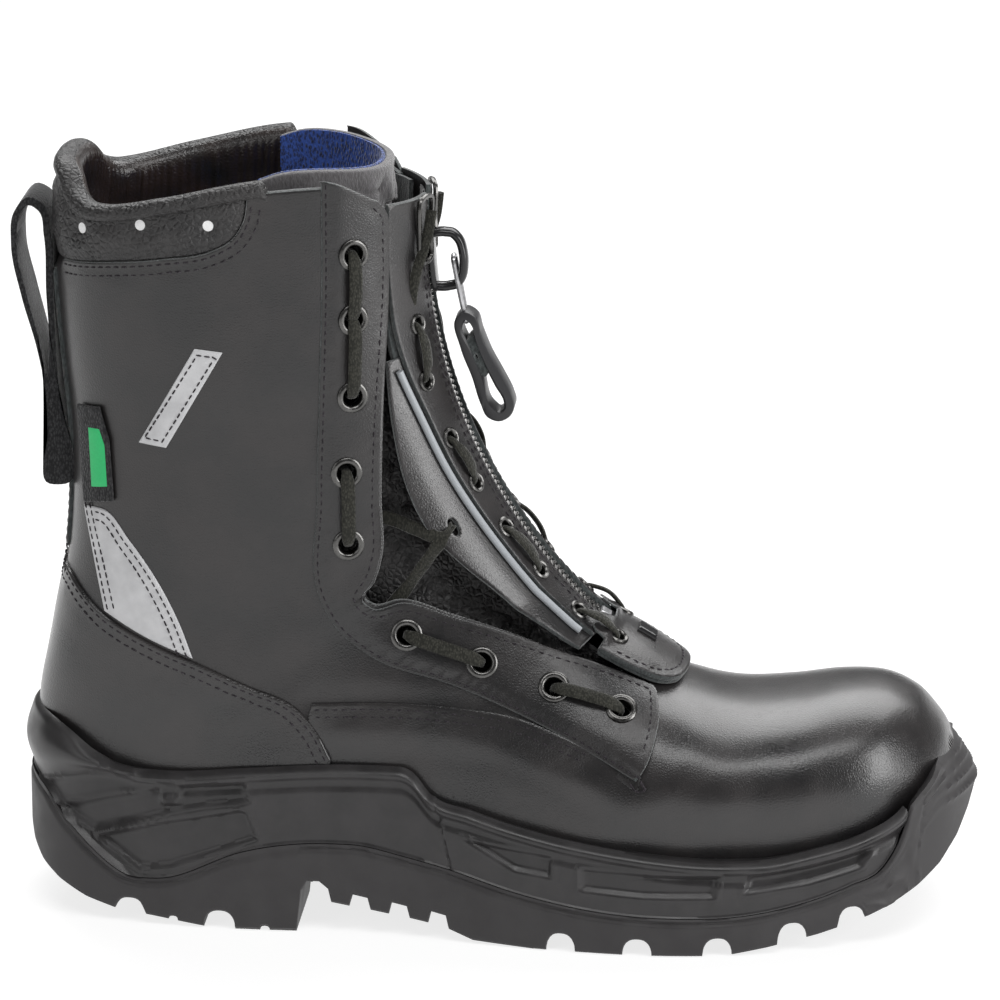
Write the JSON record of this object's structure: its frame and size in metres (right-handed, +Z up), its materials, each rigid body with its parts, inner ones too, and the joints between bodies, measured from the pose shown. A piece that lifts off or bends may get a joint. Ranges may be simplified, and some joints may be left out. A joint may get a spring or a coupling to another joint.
{
  "type": "fire boot",
  "caption": "Right leather fire boot with lace-in front zipper, padded collar, pull loop, reflective heel trim, safety toe and lugged rubber sole.",
  "frame": {"origin": "floor level under the middle of the boot's length and width", "axes": "+X towards the toe, +Z up, -Y is the outer (lateral) side of this right boot"},
  "size_m": [0.315, 0.113, 0.253],
  "materials": {
    "black_leather": "semi-gloss",
    "soft_leather": "satin",
    "sole_rubber": "matte",
    "midsole_foam": "satin",
    "black_textile": "matte",
    "blue_lining": "matte",
    "reflective_grey": "retro-reflective",
    "green_label": "matte",
    "gunmetal": "satin",
    "steel": "satin",
    "dark_cord": "matte",
    "fibre_board": "matte"
  },
  "bodies": {
    "boot": {"vamp": "black_leather", "quarter_outer": "black_leather", "quarter_inner": "black_leather", "counter_cover": "black_leather", "back_strip": "black_leather", "facing_outer": "black_leather", "facing_inner": "black_leather", "insert_end": "black_leather", "collar_pad": "soft_leather", "collar_roll": "soft_leather", "tongue": "soft_leather", "outsole": "sole_rubber", "midsole": "midsole_foam", "pull_loop": "black_textile", "footbed": "black_textile", "lining_bootie": "blue_lining", "ankle_foam": "blue_lining", "heel_reflector_outer": "reflective_grey", "heel_reflector_inner": "reflective_grey", "side_reflector_outer": "reflective_grey", "side_reflector_inner": "reflective_grey", "side_label": "green_label", "puncture_plate": "steel", "arch_shank": "steel", "toe_cap": "steel", "insole_board": "fibre_board", "heel_counter": "fibre_board", "bottom_stop": "gunmetal", "end_stud": "gunmetal", "lace_outer": "dark_cord", "eyelet_outer_1": "gunmetal", "eyelet_outer_2": "gunmetal", "eyelet_outer_3": "gunmetal", "eyelet_outer_4": "gunmetal", "eyelet_outer_5": "gunmetal", "eyelet_outer_6": "gunmetal", "eyelet_outer_7": "gunmetal", "eyelet_outer_8": "gunmetal", "eyelet_outer_9": "gunmetal", "lace_inner": "dark_cord", "eyelet_inner_1": "gunmetal", "eyelet_inner_2": "gunmetal", "eyelet_inner_3": "gunmetal", "eyelet_inner_4": "gunmetal", "eyelet_inner_5": "gunmetal", "eyelet_inner_6": "gunmetal", "eyelet_inner_7": "gunmetal", "eyelet_inner_8": "gunmetal", "eyelet_inner_9": "gunmetal"},
    "outer_flap": {"insert_leather_outer": "black_leather", "zip_tape_outer": "black_textile", "zip_teeth_outer": "gunmetal", "lace_hook_outer": "gunmetal"},
    "inner_flap": {"insert_leather_inner": "black_leather", "zip_tape_inner": "black_textile", "zip_teeth_inner": "gunmetal", "lace_hook_inner": "gunmetal"},
    "slider": {"slider_body": "gunmetal"},
    "puller_link": {"puller": "gunmetal"},
    "strap": {"pull_strap": "black_leather"}
  },
  "joints": [
    {"name": "zip_slide", "type": "hinge", "parent": "boot", "child": "slider", "pos_m": [0.155, 0, 0.23], "axis": [0, -1, 0], "range_deg": [0, 37]},
    {"name": "zip_outer_open", "type": "hinge", "parent": "boot", "child": "outer_flap", "pos_m": [0.03927, 0, 0.09873], "axis": [0.6613, 0, 0.7501], "range_deg": [0, 9.3]},
    {"name": "zip_inner_open", "type": "hinge", "parent": "boot", "child": "inner_flap", "pos_m": [0.03927, 0, 0.09873], "axis": [0.6613, 0, 0.7501], "range_deg": [-9.3, 0]},
    {"name": "puller_swing", "type": "hinge", "parent": "slider", "child": "puller_link", "pos_m": [-0.01417, 0, 0.21787], "axis": [0, -1, 0], "range_deg": [0, 120]},
    {"name": "strap_swing", "type": "hinge", "parent": "puller_link", "child": "strap", "pos_m": [-0.0102, 0, 0.1974], "axis": [0, -1, 0], "range_deg": [0, 60]}
  ],
  "couplings": [
    {"joint": "zip_outer_open", "follows": "zip_slide", "ratio": 0.25},
    {"joint": "zip_inner_open", "follows": "zip_slide", "ratio": -0.25}
  ]
}
